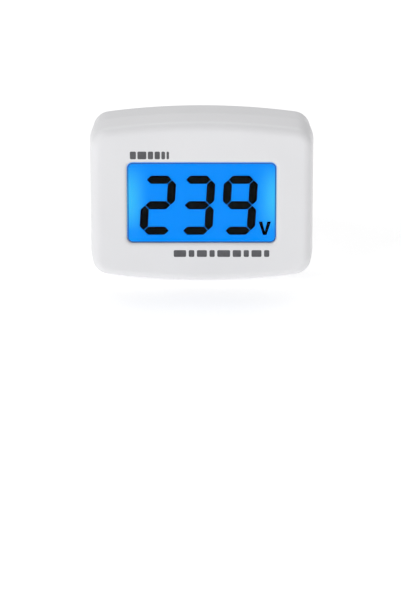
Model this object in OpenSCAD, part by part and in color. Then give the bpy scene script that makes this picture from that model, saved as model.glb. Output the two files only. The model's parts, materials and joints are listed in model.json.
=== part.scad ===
// Plug-in mains voltmeter: a display housing with an earthed round plug on its back.
// Millimetres. X runs across the display, +Y points from the display to the pin tips, +Z is up.
// The origin is under the middle of the whole object, at the height of its lowest edge.

/* [Housing] */
// Overall width of the housing
body_w = 56; // [54:0.5:70]
// Overall height of the housing, at its middle
body_h = 42; // [41:0.5:52]
// Depth of the front shell, from the display face to the parting line
front_d = 8.8; // [8.6:0.1:12]
// Depth of the rear shell, from the parting line to the plug's seat
rear_d = 11.7; // [11.5:0.1:16]
// Radius of the housing's four corners, seen from the front
corner_r = 5; // [3.5:0.1:6]
// How far the top and bottom edges bow outwards at their middle
edge_bow = 2.2; // [0.5:0.1:2.4]
// Wall thickness of both shells
wall = 2; // [1.6:0.1:2.2]
// How much each side leans in from the parting line to the display face
front_draft = 0.55; // [0:0.05:0.8]
// How much each side leans in from the parting line to the plug's seat
rear_draft = 0.45; // [0.2:0.05:1]
// Radius of the rounded edge round the display face
front_edge_r = 2.3; // [1:0.1:2.4]
// Radius of the rounded edge round the back
rear_edge_r = 1.2; // [0.6:0.1:2]

/* [Display] */
// Width of the visible window
window_w = 36.9; // [30:0.1:38]
// Height of the visible window
window_h = 20.4; // [16:0.1:21]
// Corner radius of the window
window_r = 1.3; // [0.5:0.1:2]
// Depth of the clear window below the display face
window_sink = 0.5; // [0.2:0.1:1]
// Thickness of each glass plate of the display cell
glass_t = 0.7; // [0.5:0.05:0.8]
// Thickness of the light guide behind the cell
guide_t = 2; // [1.8:0.1:2.2]
// Width of a digit's bars, as a share of the window's width
bar_share = 0.0577; // [0.03:0.0001:0.06]
// How far a digit leans over for each millimetre of height
digit_lean = 0.058; // [0:0.01:0.15]

/* [Plug] */
// Radius of the plug's round body
plug_r = 16.8; // [14:0.1:18.5]
// Height of the plug's body above the housing
plug_l = 15.4; // [12:0.1:18]
// Radius of each contact pin
pin_r = 2; // [1.9:0.05:2.4]
// Distance between the two pins
pin_spacing = 19; // [17:0.5:19.5]
// Length of each pin above the plug's face
pin_l = 16.9; // [14:0.1:19]
// Length of the insulating sleeve that shows above the plug's face
sleeve_l = 5.2; // [3:0.1:7]
// Width of the slot that holds the earth strip
slot_w = 4; // [3.5:0.1:5]
// Depth of the earth strip's slot, from the plug's round side
slot_d = 3.9; // [3:0.1:4.5]
// Distance of the open notch's inner end from the middle of the plug
notch_end = 6.9; // [6.6:0.1:9]
// Width of the guide rib on each flat side of the plug
rib_w = 5.5; // [3:0.1:7]
// Thickness of the earth strip
strip_t = 0.8; // [0.5:0.05:1]

/* [Fasteners] */
// Distance of each case screw from the side of the housing
screw_side = 6.15; // [6:0.05:6.6]
// Distance of each case screw from the housing's top or bottom
screw_edge = 7.4; // [6.8:0.1:7.6]
// Radius of a case screw's shank
screw_r = 1.25; // [1:0.05:1.3]
// Radius of a case screw's head
screw_head_r = 1.95; // [1.8:0.05:2.1]
// Length of a case screw's shank
screw_l = 14; // [12:0.5:15]

/* [Circuit board] */
// Thickness of the board
board_t = 1.2; // [0.8:0.1:1.6]
// Distance across each side of the trimmer that sets the reading
trimmer_w = 6.6; // [6:0.1:7]
// How far the trimmer's rotor is off the middle of the board, to the right
trimmer_x = 15.5; // [14.5:0.1:16]

/* [Hidden] */
$fn = 64;

slack = 0.05;              // air between neighbours that lie on each other
slide = 0.15;              // air round pieces that drop into a pocket
cut = 0.5;                 // how far a cutting tool runs past what it cuts
faint = 0.01;              // thickness of a slice in a hulled skin
bow_fn = 360;              // facets of the large circles that bow the edges

// Depths behind the display face, in the order in which the pieces are stacked
film_t = 0.2;
cell_gap = 0.1;
flange_t = 0.9;
flange_w = 1.3;
bevel_w = 1;
tray_t = 1;
lens_y = wall + flange_t;
glass1_y = lens_y + slack + film_t;
cell_y = glass1_y + glass_t;
glass2_y = cell_y + cell_gap;
film2_y = glass2_y + glass_t;
guide_y = film2_y + film_t + slack;
reflector_y = guide_y + guide_t + slack;
reflector_t = 0.15;
tray_y = reflector_y + reflector_t + slack;
board_y = tray_y + tray_t + slack;
board_back = board_y + board_t;

// Depths of the shells and the plug
plate_y = front_d + rear_d;
plate_in = plate_y - wall;
face_y = plate_y + plug_l;
tip_y = face_y + pin_l;

// Display cell
cell_edge = 0.85;                          // glass hidden beyond each side of the window
glass_w = window_w + 2 * cell_edge;
glass_top = window_h / 2 + 0.5;
low_margin = 1.2;                          // glass hidden below the window, for a view from above
glass_ledge = 1.6;                         // contact ledge of the front glass below the rear one
rear_glass_low = window_h / 2 + low_margin;
front_glass_low = rear_glass_low + glass_ledge;
film_w = glass_w - 0.4;
film_low = rear_glass_low - 0.2;
film_top = glass_top - 0.2;
seal_w = 0.5;
guide_w = window_w - 0.7;
strip_h = glass_ledge - 0.3;
strip_z = -(rear_glass_low + front_glass_low) / 2;
tray_wall = 1;
pocket_w = glass_w + 0.2;
pocket_low = front_glass_low + 0.1;
pocket_top = glass_top + 0.1;
led_z = 5;
led_size = [1.1, 1.6, 2.6];                // across, deep and high
led_x = (guide_w + led_size[0]) / 2 + slack;
led_leg = 0.35;
digit_w = 0.1745 * window_w;               // between the middles of a digit's upright bars
digit_step = 0.3232 * window_h;            // between the middles of its flat bars
digit_x = window_w * [-0.2976, -0.0319, 0.2559];
digit_z = -0.0706 * window_h;
bar_w = bar_share * window_w;
bar_gap = 0.18;
unit_at = [0.4286 * window_w, -0.363 * window_h];
unit_size = [0.084 * window_w, 0.17 * window_h];
unit_bar = 0.025 * window_w;

// One digit's bars as [across, up, turn]: top, upper right, lower right, bottom, lower left,
// upper left and middle. Across and up are in steps of digit_w and digit_step.
BARS = [[0, 1, 0], [0.5, 0.5, 90], [0.5, -0.5, 90], [0, -1, 0],
        [-0.5, -0.5, 90], [-0.5, 0.5, 90], [0, 0, 0]];
SHOWN = [[0, 1, 3, 4, 6], [0, 1, 2, 3, 6], [0, 1, 2, 3, 5, 6]];   // the digits 2, 3 and 9

// Case screws and their pillars
screw_x = body_w / 2 - screw_side;
screw_z = body_h / 2 - screw_edge;
pillar_r = screw_r + 1.05;
column_r = screw_head_r + 0.95;
head_t = 1.3;
head_sink = 0.4;
head_seat = plate_y - head_sink - head_t;
pillar_gap = 0.2;
inner_edge_r = 0.6;
lip_t = 0.8;
lip_l = 1.2;

// Circuit board and what it carries
arm_w = body_w - 7;
arm_h = 2 * (screw_z - pillar_r - 1);
stem_w = 2 * (screw_x - pillar_r - 1);
strip_l = min(stem_w, glass_w) - 2;
stem_h = body_h - 8;
post_r = 1.8;
post_x = body_w / 2 - 5;
post_z = 7;
small_screw_r = 0.78;
small_head_r = 1.6;
small_head_t = 1.2;
board_screw_l = 4.8;
pilot_rest = 0.5;                          // empty end of a screw's pilot hole
part_row = stem_h / 2 - 4;                 // height of the two rows of larger components
dropper_size = [13, 5.75, 6];
can_r = 3.15;
can_l = 9;
can_x = 3.5;
lead_r = 0.3;
lead_l = 1;
bridge_size = [4.7, 2.5, 6];
bridge_x = -10;
fuse_r = 1.2;
fuse_l = 6.5;
fuse_x = -16.5;
resistor_size = [1.2, 0.6, 2];
resistor_step = 2.2;
resistor_at = [0.5, 4.5];
chip_at = [-9.5, 3];
chip_w = 9;
chip_t = 1.4;
chip_legs = 8;
leg_step = 0.95;
leg_w = 0.4;
leg_t = 0.2;
leg_reach = 0.6;
trimmer_z = -2;
trimmer_t = 3;
well_d = 1.4;
rotor_r = 2.3;
rotor_t = 1.65;
spindle_r = 0.85;
spindle_seat = 0.5;
rotor_slot = [0.6, 0.7];                   // width and depth

// Plug body
flat_x = plug_r - 2;
rib_x = plug_r - 0.4;
spigot_r = plug_r - 1.2;
cavity_r = plug_r - 2.5;
cavity_x = plug_r - 4;
face_t = 3.5;
notch_flare = 0.3;                         // how much wider each side of the notch is at the rim
notch_w = slot_w - 0.1;
web = 1.5;                                 // wall round the slot and the notch
pin_boss_r = 4.2;
shank_r = pin_r + 0.6;
neck_r = pin_r - 0.5;
tail_r = 1.6;
shoulder_y = face_y - 6;
shank_y = plate_in + 0.1;
tail_y = plate_in - 3.6;
sleeve_y = face_y + sleeve_l;
root_r = pin_r + 0.2;                      // thicker root of the sleeve, seated in the plug
root_y = face_y + 0.2;
fit = 0.03;                                // radial air round pins, screws and spindles
retainer_t = 1.5;
retainer_y = plate_in - retainer_t;
retainer_r = plug_r + 2.4;
retainer_h = body_h - 2 * (wall + rear_draft + 0.95);
clamp_turn = 49.5;                         // angle of each retainer screw from the pins' line
clamp_x = (plug_r - 4.5) * cos(clamp_turn);
clamp_z = (plug_r - 4.5) * sin(clamp_turn);
clamp_boss_r = 2.2;
clamp_screw_r = 1;
clamp_l = 6;

// Earth strip, as distances down from the plug's axis
strip_w = slot_w - 2 * slide;
strip_out = plug_r - 1.2;
strip_bend = 2.2;
strip_foot = 1.6;
slot_in = plug_r - slot_d;
tail_out = slot_in + 1.1;                  // the tail runs through the plug's wall to the inside
foot_y = retainer_y - slack;               // the bent foot lies on the retainer
foot_l = 3.2;

// Wires from the pins to the board
wire_r = 0.75;
wire_bend = 1.5;
wire_run = 4;
wire_top = tail_y + 1.9;

// Puts the display face's middle where the frame wants it
module in_frame() translate([0, -tip_y / 2, body_h / 2]) children();

// Extrudes a flat outline, drawn as X across and Z up, from depth y0 to depth y1
module slab(y0, y1) translate([0, y1, 0]) rotate([90, 0, 0]) linear_extrude(y1 - y0) children();

module rod(y0, y1, r, x = 0, z = 0) slab(y0, y1) translate([x, z]) circle(r);

module box(y0, y1, size, x = 0, z = 0) slab(y0, y1) translate([x, z]) square(size, center = true);

module rounded(w, h, r) {
    square([w - 2 * r, h], center = true);
    square([w, h - 2 * r], center = true);
    for (x = [-1, 1], z = [-1, 1]) translate([x * (w / 2 - r), z * (h / 2 - r)]) circle(r);
}

// Outline of the window, grown all round
module window_outline(grown)
    rounded(window_w + 2 * grown, window_h + 2 * grown, window_r + grown);

module four(x, z) for (i = [-1, 1], k = [-1, 1]) translate([i * x, 0, k * z]) children();

// Outline of the housing, stepped in all round: rounded corners, bowed top and bottom edges
module housing_outline(inset) {
    bow_r = (pow(body_w / 2, 2) + pow(edge_bow, 2)) / (2 * edge_bow);
    offset(delta = -inset) offset(r = corner_r) offset(delta = -corner_r) intersection() {
        square([body_w, body_h], center = true);
        intersection_for (k = [-1, 1])
            translate([0, k * (body_h / 2 - bow_r)]) circle(bow_r, $fn = bow_fn);
    }
}

// Solid skin of one shell: from the parting line to its end face at end_y, whose edge is rounded
module shell_skin(part_y, end_y, draft, edge_r, inset) {
    toward = sign(end_y - part_y);
    steps = 5;
    hull() {
        slab(min(part_y, part_y + toward * faint), max(part_y, part_y + toward * faint))
            housing_outline(inset);
        for (i = [0:steps]) {
            turn = 90 * i / steps;
            y = end_y - toward * edge_r * (1 - sin(turn));
            slab(min(y, y - toward * faint), max(y, y - toward * faint))
                housing_outline(inset + draft + edge_r * (1 - cos(turn)));
        }
    }
}

module front_shell() color("whitesmoke") in_frame() {
    difference() {
        shell_skin(front_d, 0, front_draft, front_edge_r, 0);
        difference() {
            shell_skin(front_d + cut, wall, front_draft, inner_edge_r, wall);
            four(screw_x, screw_z) rod(0, front_d, pillar_r);
            four(post_x, post_z) rod(0, board_y - slack, post_r);
        }
        slab(-cut, wall + cut) window_outline(slide);
        hull() {
            slab(-faint, 0) window_outline(bevel_w);
            slab(window_sink, window_sink + faint) window_outline(2 * slide);
        }
        four(screw_x, screw_z) rod(head_seat - screw_l - pilot_rest, front_d + cut, screw_r + fit);
        four(post_x, post_z)
            rod(board_back - board_screw_l - pilot_rest, board_y, small_screw_r + fit);
    }
}

// Rim inside the rear shell, from depth y to past the parting line, that centres the front shell
module lip(y, outer) slab(y, front_d + lip_l) difference() {
    housing_outline(outer);
    housing_outline(wall + slide + lip_t);
}

module rear_shell() color("whitesmoke") in_frame() {
    difference() {
        union() {
            difference() {
                shell_skin(front_d, plate_y, rear_draft, rear_edge_r, 0);
                shell_skin(front_d - cut, plate_in, rear_draft, inner_edge_r, wall);
            }
            lip(front_d - lip_l, wall + slide);
            lip(front_d, wall / 2);
            four(screw_x, screw_z) rod(front_d + pillar_gap, plate_in + faint, column_r);
        }
        rod(plate_in - cut, plate_y + cut, spigot_r + slide);
        four(screw_x, screw_z) rod(front_d, plate_y, screw_r + slide);
        four(screw_x, screw_z) rod(head_seat, plate_y + cut, screw_head_r + 2 * slide);
    }
}

module cross_recess(y, size, depth) {
    box(y - depth, y + cut, [size, size / 4]);
    box(y - depth, y + cut, [size / 4, size]);
}

// Screw driven from the back: the head's seat is at depth y and the shank points to the display
module screw(y, shank_l, shank_r, head_r, head_h) difference() {
    union() {
        rod(y - shank_l, y, shank_r);
        rod(y, y + head_h, head_r);
    }
    cross_recess(y + head_h, 1.3 * head_r, 0.6 * head_h);
}

module case_screws() color("silver") in_frame()
    four(screw_x, screw_z) screw(head_seat, screw_l, screw_r, screw_head_r, head_t);

module window_lens() color("lightcyan", 0.4) in_frame() {
    slab(window_sink, wall + faint) window_outline(0);
    slab(wall, lens_y) window_outline(flange_w);
}

// Flat plate of the display stack, from z_low below to z_high above the window's middle
module stack_plate(y0, y1, w, z_low, z_high)
    slab(y0, y1) translate([-w / 2, -z_low]) square([w, z_low + z_high]);

module front_polariser() color("lightslategray", 0.6) in_frame()
    stack_plate(glass1_y - film_t, glass1_y, film_w, film_low, film_top);

module front_glass() color("azure", 0.4) in_frame()
    stack_plate(glass1_y, cell_y, glass_w, front_glass_low, glass_top);

module cell_seal() color("gainsboro") in_frame() difference() {
    stack_plate(cell_y, glass2_y, glass_w, rear_glass_low, glass_top);
    stack_plate(cell_y - cut, glass2_y + cut, glass_w - 2 * seal_w, rear_glass_low - seal_w,
                glass_top - seal_w);
}

// One six-sided bar of a digit, leaning with the digit
function lean(p) = [p[0] + digit_lean * p[1], p[1]];
function turned(p, quarter) = quarter ? [p[1], p[0]] : p;
function bar_tips(l, w) = [[-l / 2, 0], [(w - l) / 2, w / 2], [(l - w) / 2, w / 2],
                           [l / 2, 0], [(l - w) / 2, -w / 2], [(w - l) / 2, -w / 2]];
module bar(place) {
    quarter = place[2] == 90;
    l = (quarter ? digit_step : digit_w) - bar_gap;
    centre = [place[0] * digit_w, place[1] * digit_step];
    polygon([for (p = bar_tips(l, bar_w)) lean(centre + turned(p, quarter))]);
}

// Capital V for volts: two strokes that meet at the bottom
module unit_mark() {
    w = unit_size[0] / 2;
    h = unit_size[1] / 2;
    polygon([[-w, h], [-w + unit_bar, h], [0, unit_bar - h], [w - unit_bar, h], [w, h],
             [unit_bar / 2, -h], [-unit_bar / 2, -h]]);
}

module lcd_segments() color("black") in_frame() slab(cell_y, glass2_y) {
    for (i = [0:len(SHOWN) - 1]) translate([digit_x[i], digit_z]) for (k = SHOWN[i]) bar(BARS[k]);
    translate(unit_at) unit_mark();
}

module rear_glass() color("azure", 0.4) in_frame()
    stack_plate(glass2_y, film2_y, glass_w, rear_glass_low, glass_top);

module rear_polariser() color("steelblue") in_frame()
    stack_plate(film2_y, film2_y + film_t, film_w, film_low, film_top);

module light_guide() color("dodgerblue") in_frame()
    stack_plate(guide_y, guide_y + guide_t, guide_w, film_low, film_top);

module reflector_film() color("white") in_frame()
    stack_plate(reflector_y, reflector_y + reflector_t, guide_w, film_low, film_top);

// Side-firing lamps at both ends of the light guide, each on two legs down to the board
module backlight_leds() color("aliceblue") in_frame() four(led_x, led_z) {
    box(guide_y + slide, guide_y + slide + led_size[1], [led_size[0], led_size[2]]);
    for (k = [-1, 1])
        box(guide_y + led_size[1], board_y, [led_leg, led_leg], z = k * led_size[2] / 4);
}

// Outline of a wide bar across a tall stem, which leaves the four case pillars free
module notched(w, h, stem, z_low, z_high) {
    square([w, h], center = true);
    translate([-stem / 2, -z_low]) square([stem, z_low + z_high]);
}

// Tray that holds the display stack, with windows in its floor for the contact strip and the lamps
module display_tray() color("ivory") in_frame() difference() {
    slab(lens_y + slack, tray_y + tray_t)
        notched(pocket_w + 2 * tray_wall, arm_h, stem_w, pocket_low + tray_wall,
                pocket_top + tray_wall);
    stack_plate(lens_y - cut, tray_y, pocket_w, pocket_low, pocket_top);
    box(tray_y - cut, tray_y + tray_t + cut, [strip_l + 2 * slide, strip_h + 2 * slack], z = strip_z);
    four(led_x, led_z) box(tray_y - cut, tray_y + tray_t + cut, [led_size[0], led_size[2]]);
}

// Rubber strip that joins the glass ledge to the board
module contact_strip() color("dimgray") in_frame()
    box(cell_y, board_y, [strip_l, strip_h], z = strip_z);

module main_board() color("seagreen") in_frame() difference() {
    slab(board_y, board_back) notched(arm_w, arm_h, stem_w, stem_h / 2, stem_h / 2);
    four(post_x, post_z) rod(board_y - cut, board_back + cut, small_screw_r + 2 * slide);
}

module board_screws() color("silver") in_frame()
    four(post_x, post_z)
        screw(board_back, board_screw_l, small_screw_r, small_head_r, small_head_t);

module meter_chip() color("dimgray") in_frame() translate([chip_at[0], board_back, chip_at[1]]) {
    box(leg_t, leg_t + chip_t, [chip_w, chip_w]);
    for (side = [0:3]) rotate([0, 90 * side, 0]) for (i = [0:chip_legs - 1])
        translate([(i - (chip_legs - 1) / 2) * leg_step, 0, chip_w / 2]) gull_leg();
}

// Leg that leaves the chip's side at half height, drops and turns out along the board
module gull_leg() {
    knee = leg_t + chip_t / 2;
    box(knee - leg_t, knee, [leg_w, 2 * leg_reach]);
    box(0, knee, [leg_w, leg_t], z = leg_reach + leg_t / 2 - faint);
    box(0, leg_t, [leg_w, leg_reach], z = 1.5 * leg_reach);
}

// Film capacitor that drops the mains voltage, standing on the board
module dropper_capacitor() color("goldenrod") in_frame()
    box(board_back + slack, board_back + slack + dropper_size[1], [dropper_size[0], dropper_size[2]],
        z = part_row);

// Can that lies on the board, with two leads out of its left end
module smoothing_capacitor() color("midnightblue") in_frame()
    translate([can_x, board_back + can_r + slack, -part_row]) rotate([0, 90, 0]) {
        cylinder(h = can_l, r = can_r);
        for (k = [-1, 1]) translate([0, k * can_r / 3, -lead_l]) cylinder(h = 2 * lead_l, r = lead_r);
    }

module bridge_rectifier() color("black") in_frame()
    translate([bridge_x, board_back, -part_row]) {
        box(leg_t, leg_t + bridge_size[1], [bridge_size[0], bridge_size[2]]);
        for (x = [-1, 1], z = [-1, 1])
            box(0, 2 * leg_t, [lead_l, lead_l], x = x * bridge_size[0] / 2, z = z * bridge_size[2] / 4);
    }

module fuse_resistor() color("tan") in_frame()
    translate([fuse_x, board_back + fuse_r + slack, part_row]) rotate([0, 90, 0]) {
        cylinder(h = fuse_l, r = fuse_r);
        translate([0, 0, -lead_l]) cylinder(h = fuse_l + 2 * lead_l, r = lead_r);
    }

module chip_resistors() color("black") in_frame() for (i = [0:4])
    box(board_back, board_back + resistor_size[1], [resistor_size[0], resistor_size[2]],
        x = resistor_at[0] + resistor_step * i, z = resistor_at[1]);

module trimmer_base() color("royalblue") in_frame() {
    top = board_back + trimmer_t;
    difference() {
        box(board_back, top, [trimmer_w, trimmer_w], trimmer_x, trimmer_z);
        rod(top - well_d, top + cut, rotor_r + slack, trimmer_x, trimmer_z);
        rod(board_back + spindle_seat, top, spindle_r + slack, trimmer_x, trimmer_z);
    }
}

// Slotted disc on a spindle, which turns in the base
module trimmer_rotor() color("white") in_frame() translate([trimmer_x, 0, trimmer_z]) {
    seat = board_back + trimmer_t - well_d + slack;
    difference() {
        rod(seat, seat + rotor_t, rotor_r);
        box(seat + rotor_t - rotor_slot[1], seat + rotor_t + cut, [rotor_slot[0], 2 * rotor_r + cut]);
    }
    rod(board_back + spindle_seat + slack, seat + faint, spindle_r);
}

// Solid outline of the plug: a round body with two flats, each with a guide rib
module plug_outline() {
    intersection() {
        circle(plug_r, $fn = 128);
        square([2 * flat_x, 3 * plug_r], center = true);
    }
    square([2 * rib_x, rib_w], center = true);
}

module notch_outline() {
    low = notch_w / 2;
    high = low + notch_flare;
    polygon([[-low, notch_end], [low, notch_end], [high, plug_r + 1], [-high, plug_r + 1]]);
}

// Hollow under the plug's face, with walls left round the slot, the notch, the pins and the screws
module plug_hollow() difference() {
    intersection() {
        circle(cavity_r);
        square([2 * cavity_x, 3 * plug_r], center = true);
    }
    for (x = [-1, 1]) translate([x * pin_spacing / 2, 0]) circle(pin_boss_r);
    translate([-slot_w / 2 - web, -plug_r]) square([slot_w + 2 * web, slot_d + web]);
    translate([-slot_w / 2 - web - notch_flare, notch_end - web])
        square([slot_w + 2 * (web + notch_flare), plug_r]);
    at_clamps() circle(clamp_boss_r);
}

module at_clamps() for (x = [-1, 1], z = [-1, 1]) translate([x * clamp_x, z * clamp_z]) children();

module plug_body() color("whitesmoke") in_frame() difference() {
    union() {
        slab(plate_y, face_y) plug_outline();
        rod(plate_in, plate_y + faint, spigot_r);
    }
    slab(plate_in - cut, face_y - face_t) plug_hollow();
    slab(plate_y, face_y + cut) notch_outline();
    slab(plate_y, face_y + cut) translate([-slot_w / 2, -plug_r - 1]) square([slot_w, slot_d + 1]);
    box(plate_in - cut, plate_y + cut, [slot_w, strip_t + 2 * slack], z = strip_t / 2 - tail_out);
    for (x = [-1, 1]) {
        rod(plate_in - cut, shoulder_y, shank_r + fit, x * pin_spacing / 2);
        rod(plate_in, face_y + cut, root_r + fit, x * pin_spacing / 2);
    }
    slab(plate_in - cut, plate_in + clamp_l) at_clamps() circle(clamp_screw_r + fit);
}

// Plate inside the rear shell that clamps the plug to it and holds the pins down
module plug_retainer() color("burlywood") in_frame() slab(retainer_y, plate_in) difference() {
    intersection() {
        circle(retainer_r);
        square([3 * plug_r, retainer_h], center = true);
    }
    for (x = [-1, 1]) translate([x * pin_spacing / 2, 0]) circle(tail_r + slide);
    at_clamps() circle(clamp_screw_r + slide);
    translate([0, strip_t / 2 - tail_out]) square([slot_w, strip_t + 2 * slide], center = true);
}

module retainer_screws() color("silver") in_frame() mirror([0, 1, 0]) four(clamp_x, clamp_z)
    screw(-retainer_y, clamp_l + retainer_t - slack, clamp_screw_r, small_head_r, small_head_t);

// Pin with a domed tip, a neck for its sleeve, a shank behind the shoulder and a hollow solder tail
module pin(side) translate([side * pin_spacing / 2, 0, 0]) difference() {
    union() {
        rod(tail_y, shank_y + faint, tail_r);
        rod(shank_y, shoulder_y - fit, shank_r);
        rod(shoulder_y - slack, sleeve_y + faint, neck_r);
        rod(sleeve_y, tip_y - pin_r, pin_r);
        translate([0, tip_y - pin_r, 0]) sphere(pin_r);
    }
    rod(tail_y - cut, tail_y + 2, wire_r + fit);
}

module live_pin() color("silver") in_frame() pin(-1);

module neutral_pin() color("silver") in_frame() pin(1);

// Insulating sleeve round a pin's neck, with its thicker root in the plug
module sleeve(side) translate([side * pin_spacing / 2, 0, 0]) difference() {
    union() {
        rod(shoulder_y + slack, root_y, root_r);
        rod(shoulder_y + slack, sleeve_y - fit, pin_r - fit);
    }
    rod(shoulder_y - cut, sleeve_y + cut, neck_r + fit);
}

module live_sleeve() color("whitesmoke") in_frame() sleeve(-1);

module neutral_sleeve() color("whitesmoke") in_frame() sleeve(1);

// Quarter ring between two radii, centred on c, in the quarter that starts at the given turn
module quarter_ring(c, inner, outer, turn) translate(c) rotate(turn) intersection() {
    difference() {
        circle(outer);
        circle(inner);
    }
    square(outer + cut);
}

// Side view of the earth strip: up is towards the plug's face, left is away from the plug's axis
module strip_profile() {
    top = face_y - 2 * slide;
    bottom = plate_y + slide;
    quarter_ring([strip_bend - strip_out, top - strip_bend], strip_bend - strip_t, strip_bend, 90);
    translate([-strip_out, bottom + strip_foot])
        square([strip_t, top - strip_bend - bottom - strip_foot]);
    quarter_ring([strip_foot - strip_out, bottom + strip_foot], strip_foot - strip_t, strip_foot, 180);
    translate([min(strip_foot - strip_out, -tail_out) - faint, bottom])
        square([abs(strip_foot - strip_out + tail_out) + strip_t + faint, strip_t]);
    translate([-tail_out, foot_y - strip_t]) square([strip_t, bottom - foot_y + 2 * strip_t]);
    translate([-tail_out, foot_y - strip_t]) square([foot_l, strip_t]);
}

module earth_strip() color("silver") in_frame()
    translate([strip_w / 2, 0, 0]) rotate([0, -90, 0]) linear_extrude(strip_w) strip_profile();

// Wire from a pin's solder cup to the board: straight, two bends and straight again
module wire(side) translate([side * pin_spacing / 2, 0, 0]) {
    bend_y = tail_y - 0.8;
    run_y = bend_y - wire_bend;
    rod(bend_y, wire_top, wire_r);
    translate([0, bend_y, -wire_bend]) rotate([0, 90, 0]) rotate([0, 0, 180])
        rotate_extrude(angle = 90) translate([wire_bend, 0]) circle(wire_r);
    translate([0, run_y, -wire_bend - wire_run]) cylinder(h = wire_run, r = wire_r);
    translate([0, run_y - wire_bend, -wire_bend - wire_run]) rotate([0, 90, 0])
        rotate_extrude(angle = 90) translate([wire_bend, 0]) circle(wire_r);
    rod(board_back, run_y - wire_bend, wire_r, z = -2 * wire_bend - wire_run);
}

module live_wire() color("saddlebrown") in_frame() wire(-1);

module neutral_wire() color("royalblue") in_frame() wire(1);

front_shell();
rear_shell();
case_screws();
window_lens();
front_polariser();
front_glass();
cell_seal();
lcd_segments();
rear_glass();
rear_polariser();
light_guide();
reflector_film();
backlight_leds();
display_tray();
contact_strip();
main_board();
board_screws();
meter_chip();
dropper_capacitor();
smoothing_capacitor();
bridge_rectifier();
fuse_resistor();
chip_resistors();
trimmer_base();
trimmer_rotor();
plug_body();
plug_retainer();
retainer_screws();
live_pin();
neutral_pin();
live_sleeve();
neutral_sleeve();
earth_strip();
live_wire();
neutral_wire();
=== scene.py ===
"""Looks of a plug-in mains voltmeter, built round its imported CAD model.

Helper functions take millimetres: x across the display, depth behind the display face and
z up from the face's middle. Meshes are in metres, in the frame of the CAD model.
"""

import json
import math

import bmesh
import bpy
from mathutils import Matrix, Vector


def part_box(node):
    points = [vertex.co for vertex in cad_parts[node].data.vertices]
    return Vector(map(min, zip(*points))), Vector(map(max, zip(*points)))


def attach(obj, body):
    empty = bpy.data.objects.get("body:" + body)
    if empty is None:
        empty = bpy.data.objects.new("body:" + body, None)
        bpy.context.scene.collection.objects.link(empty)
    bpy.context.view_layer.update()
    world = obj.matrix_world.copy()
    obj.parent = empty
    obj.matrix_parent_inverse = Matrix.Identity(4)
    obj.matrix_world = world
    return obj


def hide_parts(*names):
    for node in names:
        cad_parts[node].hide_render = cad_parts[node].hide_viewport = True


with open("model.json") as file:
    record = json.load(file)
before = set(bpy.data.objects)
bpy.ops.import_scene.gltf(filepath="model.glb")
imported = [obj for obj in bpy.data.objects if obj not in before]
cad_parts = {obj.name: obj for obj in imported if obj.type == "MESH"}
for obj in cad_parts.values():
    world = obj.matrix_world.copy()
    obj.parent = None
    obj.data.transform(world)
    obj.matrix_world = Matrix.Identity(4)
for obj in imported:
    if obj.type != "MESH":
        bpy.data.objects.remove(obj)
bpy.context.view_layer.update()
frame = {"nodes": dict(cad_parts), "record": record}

MM = 0.001
scene = bpy.context.scene
scene.view_settings.view_transform = "Standard"

# ---------------------------------------------------------------- sizes taken from the CAD model

front_low, front_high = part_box("front_shell")
_, rear_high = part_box("rear_shell")
lens_low, lens_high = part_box("window_lens")
FACE = front_low.y
MIDDLE = (front_low.z + front_high.z) / 2


def depth_of(y):
    """Depth of a plane of the CAD model behind the display face."""
    return (y - FACE) / MM


BODY_W = (front_high.x - front_low.x) / MM
BODY_H = (front_high.z - front_low.z) / MM
PARTING = depth_of(front_high.y)
PLATE = depth_of(rear_high.y)
FLANGE_W = 1.3
WINDOW_W = (lens_high.x - lens_low.x) / MM - 2 * FLANGE_W
WINDOW_H = (lens_high.z - lens_low.z) / MM - 2 * FLANGE_W

# Details of the shells that the CAD model shares
CORNER_R = 5
EDGE_BOW = 2.2
WALL = 2
FRONT_DRAFT = 0.55
REAR_DRAFT = 0.45
FRONT_EDGE_R = 2.3
REAR_EDGE_R = 1.2
INNER_EDGE_R = 0.6
LIP_L = 1.2
LIP_T = 0.8
SLIDE = 0.15
WINDOW_R = 1.3
WINDOW_SINK = 0.5
BEVEL_W = 1
SPIGOT_R = 15.75
SCREW_X = 21.85
SCREW_Z = 13.6
PILLAR_R = 2.3
COLUMN_R = 2.85
SCREW_HOLE_R = 1.4
PILOT_R = 1.28
PILOT_DEPTH = 4.3
HEAD_HOLE_R = 2.25
HEAD_SEAT = 18.8
POST_X = 23
POST_Z = 7
POST_R = 1.8
POST_TOP = 8.15
POST_PILOT_R = 0.81
POST_PILOT_DEPTH = 4.1

# Details that only show in the looks
PRINT_T = 0.02  # thickness of the printed marks, which lie on the display face
MOUTH_R = 0.3  # radius of the rounded mouth of each screw hole
GROOVE = 0.14  # radius of the two edges that meet at the parting line
GLUE = 0.01  # clear glue on each side of a plate of the display
STRAIGHT = 1e-4  # bow of an outline whose top and bottom are straight
FLAT_START = 0.3  # flat margin between a rolled edge and the first ring of the flat face
RIM_MARGIN = 0.25  # flat margin between the window's rounded rim and the flat face
RIM_SINK = 0.3  # how far the rim runs on below the window's surface
POST_ROOT = 0.5  # how far a post starts inside the wall
COLUMN_GAP = 0.2  # air between a column of the rear shell and its pillar
PAINTED_SHADOW_W = 0.22  # width of the painted shadow: a dark line at the edge of the window, standing for the shade in the gap between lens and rim
PAINTED_HIGHLIGHT_LOW = 0.2  # the painted highlight, a pale glowing line on the rim, starts this far beyond the window
PAINTED_HIGHLIGHT_HIGH = 0.55  # and ends this far beyond it
SMOOTH_ANGLE = math.radians(32)


def place(x, depth, z):
    return Vector((x * MM, FACE + depth * MM, MIDDLE + z * MM))


# ---------------------------------------------------------------- mesh helpers


def four(x, z):
    return [(i * x, k * z) for i in (-1, 1) for k in (-1, 1)]


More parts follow.
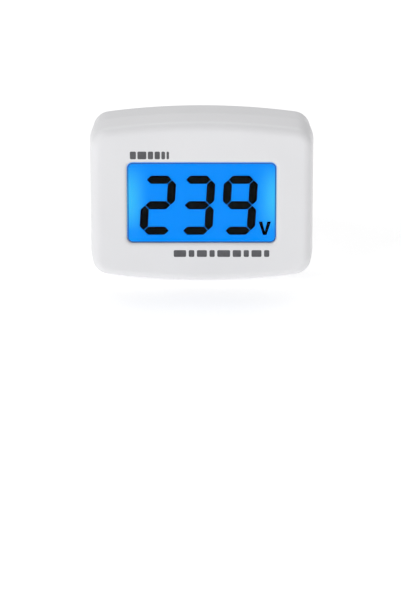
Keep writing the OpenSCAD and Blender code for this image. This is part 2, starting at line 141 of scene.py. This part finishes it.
def outline(w, h, corner, bow, inset=0.0, steps=(10, 14, 30)):
    """Points (x, z) round a rounded rectangle with bowed top and bottom, stepped in all round."""
    bow_r = ((w / 2) ** 2 + bow**2) / (2 * bow)
    bow_z = h / 2 - bow_r
    corner_x = w / 2 - corner
    corner_z = bow_z + math.sqrt((bow_r - corner) ** 2 - corner_x**2)
    lean = math.atan2(corner_x, corner_z - bow_z)
    side, turn, top = steps
    quarter = [(w / 2 - inset, corner_z * i / side) for i in range(side)]
    for i in range(turn):
        a = (math.pi / 2 - lean) * i / turn
        r = corner - inset
        quarter.append((corner_x + r * math.cos(a), corner_z + r * math.sin(a)))
    for i in range(top + 1):
        a = lean * (1 - i / top)
        r = bow_r - inset
        quarter.append((r * math.sin(a), bow_z + r * math.cos(a)))
    back = quarter[::-1]
    return (
        quarter[:-1]
        + [(-x, z) for x, z in back[:-1]]
        + [(-x, -z) for x, z in quarter[:-1]]
        + [(x, -z) for x, z in back[:-1]]
    )


def housing(inset):
    return outline(BODY_W, BODY_H, CORNER_R, EDGE_BOW, inset)


def window(grown):
    return outline(WINDOW_W + 2 * grown, WINDOW_H + 2 * grown, WINDOW_R + grown, STRAIGHT)


def circle_like(points, r):
    """The same number of points, moved onto a circle round the middle."""
    return [(r * x / math.hypot(x, z), r * z / math.hypot(x, z)) for x, z in points]


def at_depth(depth, points):
    return [place(x, depth, z) for x, z in points]


def lofted(rings, ring_shaped=False):
    """Closed mesh through rings with equal numbers of points: capped, or joined into a ring."""
    bm = bmesh.new()
    rows = [[bm.verts.new(p) for p in ring] for ring in rings]
    pairs = list(zip(rows, rows[1:]))
    if ring_shaped:
        pairs.append((rows[-1], rows[0]))
    else:
        bm.faces.new(rows[0])
        bm.faces.new(rows[-1][::-1])
    count = len(rings[0])
    for low, high in pairs:
        for i in range(count):
            j = (i + 1) % count
            bm.faces.new((low[i], low[j], high[j], high[i]))
    bmesh.ops.recalc_face_normals(bm, faces=bm.faces)
    return bm


def turned(profile, x, z, segments=64):
    """Solid of revolution about the axis at x, z: profile is a list of (radius, depth)."""
    angles = [2 * math.pi * i / segments for i in range(segments)]
    rings = [
        [place(x + r * math.cos(a), depth, z + r * math.sin(a)) for a in angles]
        for r, depth in profile
    ]
    return lofted(rings)


def to_object(bm, name):
    mesh = bpy.data.meshes.new(name)
    bm.to_mesh(mesh)
    bm.free()
    obj = bpy.data.objects.new(name, mesh)
    scene.collection.objects.link(obj)
    return obj


def combine(obj, tools, operation):
    """Adds the tools' solids to obj, or cuts them out, and removes the tools."""
    for bm in tools:
        tool = to_object(bm, "tool")
        modifier = obj.modifiers.new("combine", "BOOLEAN")
        modifier.operation = operation
        modifier.solver = "EXACT"
        modifier.object = tool
        apply_modifiers(obj)
        bpy.data.objects.remove(tool)
    return obj


def apply_modifiers(obj):
    bpy.context.view_layer.update()
    graph = bpy.context.evaluated_depsgraph_get()
    mesh = bpy.data.meshes.new_from_object(obj.evaluated_get(graph))
    obj.modifiers.clear()
    old = obj.data
    obj.data = mesh
    bpy.data.meshes.remove(old)


def smooth(obj):
    """Smooth shading that keeps flat faces flat and sharp edges sharp."""
    obj.data.polygons.foreach_set("use_smooth", [True] * len(obj.data.polygons))
    obj.data.set_sharp_from_angle(angle=SMOOTH_ANGLE)
    weights = obj.modifiers.new("weights", "WEIGHTED_NORMAL")
    weights.keep_sharp = True
    weights.weight = 100
    return obj


def softened(node, width, segments=3):
    """Copy of a CAD node with small rounded edges, which stands for it."""
    source = frame["nodes"][node]
    bm = bmesh.new()
    bm.from_mesh(source.data)
    bmesh.ops.remove_doubles(bm, verts=bm.verts, dist=1e-6)
    bmesh.ops.dissolve_limit(
        bm, angle_limit=math.radians(0.5), verts=bm.verts, edges=bm.edges
    )
    obj = to_object(bm, node + "_visual")
    bevel = obj.modifiers.new("bevel", "BEVEL")
    bevel.width = width * MM
    bevel.segments = segments
    bevel.limit_method = "ANGLE"
    bevel.angle_limit = math.radians(35)
    apply_modifiers(obj)
    return obj


def parted(node, air):
    """Copy of a flat CAD node, thinner by air on both sides, so that no two faces coincide."""
    low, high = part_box(node)
    share = 1 - 2 * air * MM / (high.y - low.y)
    bm = bmesh.new()
    bm.from_mesh(frame["nodes"][node].data)
    bmesh.ops.remove_doubles(bm, verts=bm.verts, dist=1e-6)
    for vertex in bm.verts:
        vertex.co.y = (low.y + high.y) / 2 + share * (vertex.co.y - (low.y + high.y) / 2)
    return to_object(bm, node + "_visual")


def finish_piece(obj, material, slot, *nodes, body="housing"):
    """Gives a new piece its material and body and hides the CAD nodes that it stands for; slot is not
    used.
    """
    obj.data.materials.clear()
    obj.data.materials.append(material)
    smooth(obj)
    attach(obj, body)
    if nodes:
        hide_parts(*nodes)
    return obj


# ---------------------------------------------------------------- materials

COLOUR_STEP = 1 / 255  # one step of an 8-bit colour channel


def colour(r, g, b):
    """Linear colour from an sRGB one."""
    linear = []
    for step in (r, g, b):
        value = step * COLOUR_STEP
        low = value <= 0.04045
        linear.append(value / 12.92 if low else ((value + 0.055) / 1.055) ** 2.4)
    return (*linear, 1.0)


class Finish:
    """A material with one Principled shader, and the nodes that vary it over the surface."""

    def __init__(self, slot, rgb, roughness, metallic=0.0, ior=1.46):
        self.material = bpy.data.materials.new(slot)
        self.material.use_nodes = True
        self.nodes = self.material.node_tree.nodes
        self.links = self.material.node_tree.links
        self.shader = self.nodes["Principled BSDF"]
        self.shader.inputs["Base Color"].default_value = colour(*rgb)
        self.shader.inputs["Roughness"].default_value = roughness
        self.shader.inputs["Metallic"].default_value = metallic
        self.shader.inputs["IOR"].default_value = ior
        self.rgb = rgb
        self.roughness = roughness

    def node(self, kind, **values):
        node = self.nodes.new(kind)
        for name, value in values.items():
            setattr(node, name, value)
        return node

    def math(self, operation, a, b=0.0):
        node = self.node("ShaderNodeMath", operation=operation)
        for socket, value in zip(node.inputs, (a, b)):
            if isinstance(value, bpy.types.NodeSocket):
                self.links.new(value, socket)
            else:
                socket.default_value = value
        return node.outputs[0]

    def place(self, stretch=(1, 1, 1)):
        """Coordinates fixed to the piece, in metres, squeezed along each axis."""
        where = self.node("ShaderNodeTexCoord").outputs["Object"]
        squeeze = self.node("ShaderNodeMapping")
        squeeze.inputs["Scale"].default_value = stretch
        self.links.new(where, squeeze.inputs["Vector"])
        return squeeze.outputs["Vector"]

    def noise(self, size, detail=3.0, stretch=(1, 1, 1)):
        """Noise whose grains are about size millimetres across."""
        noise = self.node("ShaderNodeTexNoise")
        noise.inputs["Scale"].default_value = 1 / (size * MM)
        noise.inputs["Detail"].default_value = detail
        self.links.new(self.place(stretch), noise.inputs["Vector"])
        return noise.outputs["Fac"]

    def ramp(self, fac, low, high):
        ramp = self.node("ShaderNodeMapRange")
        ramp.inputs["To Min"].default_value = low
        ramp.inputs["To Max"].default_value = high
        self.links.new(fac, ramp.inputs["Value"])
        return ramp.outputs["Result"]

    def mix(self, fac, first, second):
        """Colour between two sRGB colours."""
        mix = self.node("ShaderNodeMix", data_type="RGBA")
        self.links.new(fac, mix.inputs["Factor"])
        mix.inputs[6].default_value = colour(*first)
        mix.inputs[7].default_value = colour(*second)
        return mix.outputs[2]

    def tint(self, size, amount):
        """Slow drift of the base colour, darker by up to amount."""
        darker = tuple(value * (1 - amount) for value in self.rgb)
        drift = self.mix(self.noise(size), self.rgb, darker)
        self.links.new(drift, self.shader.inputs["Base Color"])
        return self

    def grain(self, size, height, stretch=(1, 1, 1), detail=3.0):
        """Fine relief, height millimetres deep."""
        bump = self.node("ShaderNodeBump")
        bump.inputs["Distance"].default_value = height * MM
        self.links.new(self.noise(size, detail, stretch), bump.inputs["Height"])
        self.links.new(bump.outputs["Normal"], self.shader.inputs["Normal"])
        return self

    def wear(self, size, spread, stretch=(1, 1, 1)):
        """Roughness that varies by spread either way."""
        rough = self.ramp(
            self.noise(size, 4.0, stretch), self.roughness - spread, self.roughness + spread
        )
        self.links.new(rough, self.shader.inputs["Roughness"])
        return self

    def glow(self, rgb, strength):
        self.shader.inputs["Emission Color"].default_value = colour(*rgb)
        self.shader.inputs["Emission Strength"].default_value = strength
        return self

    def clear(self, amount=1.0):
        self.shader.inputs["Transmission Weight"].default_value = amount
        return self

    def coat(self, amount, roughness):
        self.shader.inputs["Coat Weight"].default_value = amount
        self.shader.inputs["Coat Roughness"].default_value = roughness
        return self


def moulded(slot, rgb, roughness, grain=0.35, height=0.004):
    """Moulded plastic: a fine spark-eroded texture and a faint drift of colour."""
    return Finish(slot, rgb, roughness).tint(14, 0.025).grain(grain, height).wear(5, 0.05)


def lit_display(slot, middle, ends):
    """Backlit film: even in the middle, paler where the lamps shine in at its two ends."""
    finish = Finish(slot, (8, 60, 160), 0.4)
    axes = finish.node("ShaderNodeSeparateXYZ")
    finish.links.new(finish.place(), axes.inputs["Vector"])
    across = finish.math("ABSOLUTE", axes.outputs["X"])
    reach = finish.node("ShaderNodeMapRange", interpolation_type="SMOOTHSTEP")
    reach.inputs["From Min"].default_value = 12.8 * MM
    reach.inputs["From Max"].default_value = WINDOW_W / 2 * MM
    finish.links.new(across, reach.inputs["Value"])
    height = finish.math("SUBTRACT", axes.outputs["Z"], MIDDLE)
    square = finish.math("POWER", finish.math("DIVIDE", height, 9.0 * MM), 2.0)
    spread = finish.math("MAXIMUM", finish.math("SUBTRACT", 1.0, square), 0.12)
    share = finish.math("MULTIPLY", reach.outputs["Result"], spread)
    tone = finish.mix(share, middle, ends)
    finish.links.new(tone, finish.shader.inputs["Emission Color"])
    finish.links.new(tone, finish.shader.inputs["Base Color"])
    finish.shader.inputs["Emission Strength"].default_value = 1.0
    return finish.wear(2, 0.05)


def make_finishes():
    steel_lines = (1, 1, 24)
    made = {
        "housing_white": moulded("housing_white", (236, 236, 238), 0.42),
        "plug_white": moulded("plug_white", (236, 236, 238), 0.24, 1.2, 0.003).coat(0.3, 0.1),
        "sleeve_white": moulded("sleeve_white", (240, 240, 240), 0.35, 0.5, 0.002),
        "clear_window": Finish("clear_window", (255, 255, 255), 0.03, ior=1.12).clear().wear(9, 0.01),
        "cell_glass": Finish("cell_glass", (255, 255, 255), 0.02, ior=1.02).clear().wear(9, 0.01),
        "polariser": Finish("polariser", (225, 238, 255), 0.06, ior=1.02).clear().wear(6, 0.02),
        "seal_grey": moulded("seal_grey", (190, 190, 186), 0.5),
        "segment_black": Finish("segment_black", (3, 4, 6), 0.5, ior=1.1).wear(1, 0.1),
        "backlight_blue": lit_display("backlight_blue", (12, 152, 255), (120, 215, 252)),
        "film_blue": lit_display("film_blue", (8, 152, 255), (66, 203, 252)),
        "film_white": moulded("film_white", (245, 245, 245), 0.3, 0.8, 0.001),
        "tray_ivory": moulded("tray_ivory", (236, 230, 214), 0.5),
        "led_clear": moulded("led_clear", (235, 240, 245), 0.15, 0.5, 0.001).coat(0.6, 0.05),
        "strip_rubber": moulded("strip_rubber", (72, 72, 76), 0.75, 0.15, 0.01),
        "board_green": moulded("board_green", (24, 92, 52), 0.32, 0.6, 0.006).coat(0.5, 0.12),
        "chip_black": moulded("chip_black", (30, 30, 32), 0.55, 0.1, 0.006),
        "film_cap_yellow": moulded("film_cap_yellow", (222, 168, 40), 0.3, 0.7, 0.003),
        "can_blue": moulded("can_blue", (28, 44, 96), 0.28, 0.7, 0.002),
        "resistor_tan": moulded("resistor_tan", (206, 178, 132), 0.4, 0.3, 0.006),
        "trimmer_blue": moulded("trimmer_blue", (38, 84, 176), 0.4, 0.4, 0.004),
        "rotor_white": moulded("rotor_white", (238, 238, 232), 0.4, 0.4, 0.004),
        "retainer_tan": moulded("retainer_tan", (196, 160, 110), 0.6, 0.3, 0.01),
        "nickel": Finish("nickel", (214, 212, 208), 0.14, 1.0).grain(0.5, 0.0006, (1, 0.05, 1)),
        "strip_steel": Finish("strip_steel", (198, 197, 194), 0.3, 1.0).grain(0.3, 0.002, (8, 0.3, 1)),
        "screw_steel": Finish("screw_steel", (196, 194, 188), 0.26, 1.0).grain(0.3, 0.002),
        "wire_brown": moulded("wire_brown", (104, 62, 34), 0.4, 0.4, 0.003),
        "wire_blue": moulded("wire_blue", (40, 86, 180), 0.4, 0.4, 0.003),
    }
    made["nickel"].wear(3, 0.05, steel_lines)
    made["strip_steel"].wear(2, 0.06, steel_lines)
    made["screw_steel"].wear(1, 0.06)
    return {slot: finish.material for slot, finish in made.items()}


FINISH = make_finishes()
SLOT = {part["node"]: part["material_slot"] for part in frame["record"]["subparts"]}
for node, cad in frame["nodes"].items():
    cad.data.materials.clear()
    cad.data.materials.append(FINISH[SLOT[node]])

# ---------------------------------------------------------------- shells


def rolled(r, steps=10):
    """Quarter round as (depth, inset) steps, from the side to the face."""
    turns = [math.pi / 2 * i / steps for i in range(steps + 1)]
    return [(r * (1 - math.sin(t)), r * (1 - math.cos(t))) for t in turns]


def outer_skin(part_y, end_y, draft, edge_r):
    """Rings from the parting line's small groove to the flat end face."""
    toward = math.copysign(1, end_y - part_y)
    rings = []
    for depth, inset in reversed(rolled(GROOVE, 3)):
        rings.append(at_depth(part_y + toward * depth, housing(inset)))
    for depth, inset in rolled(edge_r):
        rings.append(at_depth(end_y - toward * depth, housing(draft + inset)))
    rings.append(at_depth(end_y, housing(draft + edge_r + FLAT_START)))
    return rings


def inner_skin(part_y, end_y, draft):
    """Rings from the flat inner face to the parting line."""
    toward = math.copysign(1, end_y - part_y)
    rings = []
    for depth, inset in reversed(rolled(INNER_EDGE_R, 4)):
        rings.append(at_depth(end_y - toward * depth, housing(WALL + draft + inset)))
    rings.append(at_depth(part_y, housing(WALL)))
    return rings


def window_rim():
    """Rings from the display face over the window's rounded rim and through the wall."""
    rings = [at_depth(PRINT_T, window(BEVEL_W + SLIDE + RIM_MARGIN))]
    for depth, inset in reversed(rolled(1)):
        sink = PRINT_T + (WINDOW_SINK + RIM_SINK) * depth
        rings.append(at_depth(sink, window(SLIDE + BEVEL_W * inset)))
    return rings


def post(x, z, r, hole_r, depth_in, depth_top, hole_end):
    return turned([(r, depth_in), (r, depth_top)], x, z, 48), turned(
        [(hole_r, hole_end), (hole_r, depth_top + 1)], x, z, 32
    )


def make_front_shell():
    rings = outer_skin(PARTING, PRINT_T, FRONT_DRAFT, FRONT_EDGE_R)
    rings += window_rim()
    rings.append(at_depth(WALL, window(SLIDE)))
    rings += inner_skin(PARTING, WALL, FRONT_DRAFT)
    shell = to_object(lofted(rings, ring_shaped=True), "front_shell_visual")
    posts = [
        post(x, z, PILLAR_R, PILOT_R, WALL - POST_ROOT, PARTING, PILOT_DEPTH)
        for x, z in four(SCREW_X, SCREW_Z)
    ]
    posts += [
        post(x, z, POST_R, POST_PILOT_R, WALL - POST_ROOT, POST_TOP, POST_PILOT_DEPTH)
        for x, z in four(POST_X, POST_Z)
    ]
    combine(shell, [solid for solid, _ in posts], "UNION")
    combine(shell, [hole for _, hole in posts], "DIFFERENCE")
    finish_piece(shell, FINISH["housing_white"], "housing_white", "front_shell")


def screw_hole(x, z):
    """Stepped hole for a case screw, with a rounded mouth at the back."""
    mouth = [(HEAD_HOLE_R + inset, PLATE - depth) for depth, inset in rolled(MOUTH_R, 4)]
    profile = [(SCREW_HOLE_R, PARTING - 1), (SCREW_HOLE_R, HEAD_SEAT), (HEAD_HOLE_R, HEAD_SEAT)]
    profile += mouth
    profile.append((HEAD_HOLE_R + MOUTH_R, PLATE + 1))
    return turned(profile, x, z, 64)


def make_rear_shell():
    rings = outer_skin(PARTING, PLATE, REAR_DRAFT, REAR_EDGE_R)
    rim = circle_like(housing(REAR_DRAFT + REAR_EDGE_R + FLAT_START), SPIGOT_R)
    rings.append(at_depth(PLATE, rim))
    rings.append(at_depth(PLATE - WALL, rim))
    rings += inner_skin(PARTING, PLATE - WALL, REAR_DRAFT)
    shell = to_object(lofted(rings, ring_shaped=True), "rear_shell_visual")
    lip = [
        at_depth(PARTING - LIP_L, housing(WALL + SLIDE)),
        at_depth(PARTING - LIP_L, housing(WALL + SLIDE + LIP_T)),
        at_depth(PARTING + LIP_L, housing(WALL + SLIDE + LIP_T)),
        at_depth(PARTING + LIP_L, housing(WALL / 2)),
        at_depth(PARTING + GROOVE, housing(WALL / 2)),
        at_depth(PARTING + GROOVE, housing(WALL + SLIDE)),
    ]
    columns = [
        turned([(COLUMN_R, PARTING + COLUMN_GAP), (COLUMN_R, PLATE - WALL / 2)], x, z, 48)
        for x, z in four(SCREW_X, SCREW_Z)
    ]
    combine(shell, [lofted(lip, ring_shaped=True)] + columns, "UNION")
    combine(shell, [screw_hole(x, z) for x, z in four(SCREW_X, SCREW_Z)], "DIFFERENCE")
    finish_piece(shell, FINISH["housing_white"], "housing_white", "rear_shell")


make_front_shell()
make_rear_shell()

# ---------------------------------------------------------------- plug and fasteners

SOFT_EDGES = {  # node: radius of its rounded edges
    "plug_body": 0.3,
    "case_screws": 0.12,
    "earth_strip": 0.12,
    "live_pin": 0.08,
    "neutral_pin": 0.08,
    "live_sleeve": 0.08,
    "neutral_sleeve": 0.08,
}
for node, radius in SOFT_EDGES.items():
    finish_piece(softened(node, radius), FINISH[SLOT[node]], SLOT[node], node)

# ---------------------------------------------------------------- display stack

for node in ("front_polariser", "front_glass", "rear_glass", "rear_polariser"):
    finish_piece(parted(node, GLUE), FINISH[SLOT[node]], SLOT[node], node)

# ---------------------------------------------------------------- print on the display face


def printed_bars(name, x, z, height, widths, gap):
    """Row of plain rounded bars that stands in for a printed line, from x to the right."""
    bm = bmesh.new()
    left = x
    for width in widths:
        shape = outline(width, height, 0.3, STRAIGHT, steps=(1, 4, 1))
        rings = [
            at_depth(depth, [(left + width / 2 + px, z + pz) for px, pz in shape])
            for depth in (0, 2 * PRINT_T)
        ]
        part = lofted(rings)
        mesh = bpy.data.meshes.new("part")
        part.to_mesh(mesh)
        part.free()
        bm.from_mesh(mesh)
        bpy.data.meshes.remove(mesh)
        left += width + gap
    return finish_piece(to_object(bm, name), INK, "segment_black")


INK = Finish("print_ink", (104, 104, 108), 0.6).tint(1.5, 0.3).wear(1, 0.1).material
printed_bars("upper_print", -17.8, 12.28, 1.95, [1.5, 2.2, 1.3, 1.3, 0.9, 0.6], 0.38)
printed_bars("lower_print", -7.0, -12.98, 1.75, [3.1, 1.4, 2.5, 1.3, 3.2, 2.1, 1.3, 2.5, 1.3], 0.65)

# ---------------------------------------------------------------- edge of the window: painted shadow and painted highlight


def window_ring(name, inner, outer, finish, slot):
    """Thin ring round the window, between two (margin, depth) lines; it carries the painted shadow and
    the painted highlight.
    """
    rings = [at_depth(depth + PRINT_T, window(margin)) for margin, depth in (inner, outer)]
    rings += [at_depth(depth - PRINT_T, window(margin)) for margin, depth in (outer, inner)]
    ring = to_object(lofted(rings, ring_shaped=True), name)
    finish_piece(ring, finish.tint(3, 0.04).material, slot)


# Painted shadow: a dark blue ring just inside the window's edge, where the gap between the lens and
# the rim lies in shade.
WINDOW_PAINTED_SHADOW = Finish("window_painted_shadow", (24, 82, 150), 0.4)
# Painted highlight: a pale, faintly glowing ring on the window's rim, standing for the display's light
# caught on the rim.
WINDOW_PAINTED_HIGHLIGHT = Finish("window_painted_highlight", (244, 246, 250), 0.4).glow((235, 242, 255), 0.08)
PAINTED_SHADOW_DEPTH = WINDOW_SINK - 2 * PRINT_T
window_ring("window_painted_shadow", (-PAINTED_SHADOW_W, PAINTED_SHADOW_DEPTH), (0.0, PAINTED_SHADOW_DEPTH), WINDOW_PAINTED_SHADOW, "clear_window")
window_ring(
    "window_painted_highlight", (PAINTED_HIGHLIGHT_LOW, PAINTED_HIGHLIGHT_HIGH), (PAINTED_HIGHLIGHT_HIGH, PAINTED_HIGHLIGHT_LOW), WINDOW_PAINTED_HIGHLIGHT, "housing_white"
)

# ---------------------------------------------------------------- floor, light and camera


def make_floor():
    bm = bmesh.new()
    half = 2.5
    corners = [(-half, -half), (half, -half), (half, half), (-half, half)]
    bm.faces.new([bm.verts.new((x, y, 0)) for x, y in corners])
    floor = to_object(bm, "floor")
    finish = Finish("floor_white", (244, 244, 244), 0.9).grain(3, 0.01).glow((255, 255, 255), 0.4)
    floor.data.materials.append(finish.material)


def softbox(name, position, target, size, watts):
    light = bpy.data.lights.new(name, "AREA")
    light.shape = "RECTANGLE"
    light.size, light.size_y = size
    light.energy = watts
    obj = bpy.data.objects.new(name, light)
    obj.location = position
    aim = Vector(target) - Vector(position)
    obj.rotation_euler = aim.to_track_quat("-Z", "Y").to_euler()
    scene.collection.objects.link(obj)


def make_camera(elevation, distance, aim_low, lens, shift):
    """Camera in front of the display, aimed below it by aim_low degrees."""
    camera = bpy.data.cameras.new("camera")
    camera.lens = lens
    camera.shift_x = shift
    camera.sensor_width = 36
    camera.clip_start = 0.01
    obj = bpy.data.objects.new("camera", camera)
    up = math.radians(elevation)
    middle = place(0, 0, 0)
    obj.location = middle + Vector((0, -math.cos(up), math.sin(up))) * distance * MM
    obj.rotation_euler = (math.radians(90 - elevation - aim_low), 0, 0)
    scene.collection.objects.link(obj)
    scene.camera = obj


world = bpy.data.worlds.new("studio")
world.use_nodes = True
world.node_tree.nodes["Background"].inputs["Color"].default_value = (1, 1, 1, 1)
world.node_tree.nodes["Background"].inputs["Strength"].default_value = 0.48
scene.world = world

make_floor()
softbox("key", (-1.2, -1.2, 1.0), (0, 0, 0.02), (0.9, 0.9), 11)
softbox("overhead", (0.0, 0.9, 1.2), (0, 0, 0.02), (1.2, 0.9), 5)
make_camera(elevation=15, distance=725, aim_low=1.91, lens=174.4, shift=-0.002)
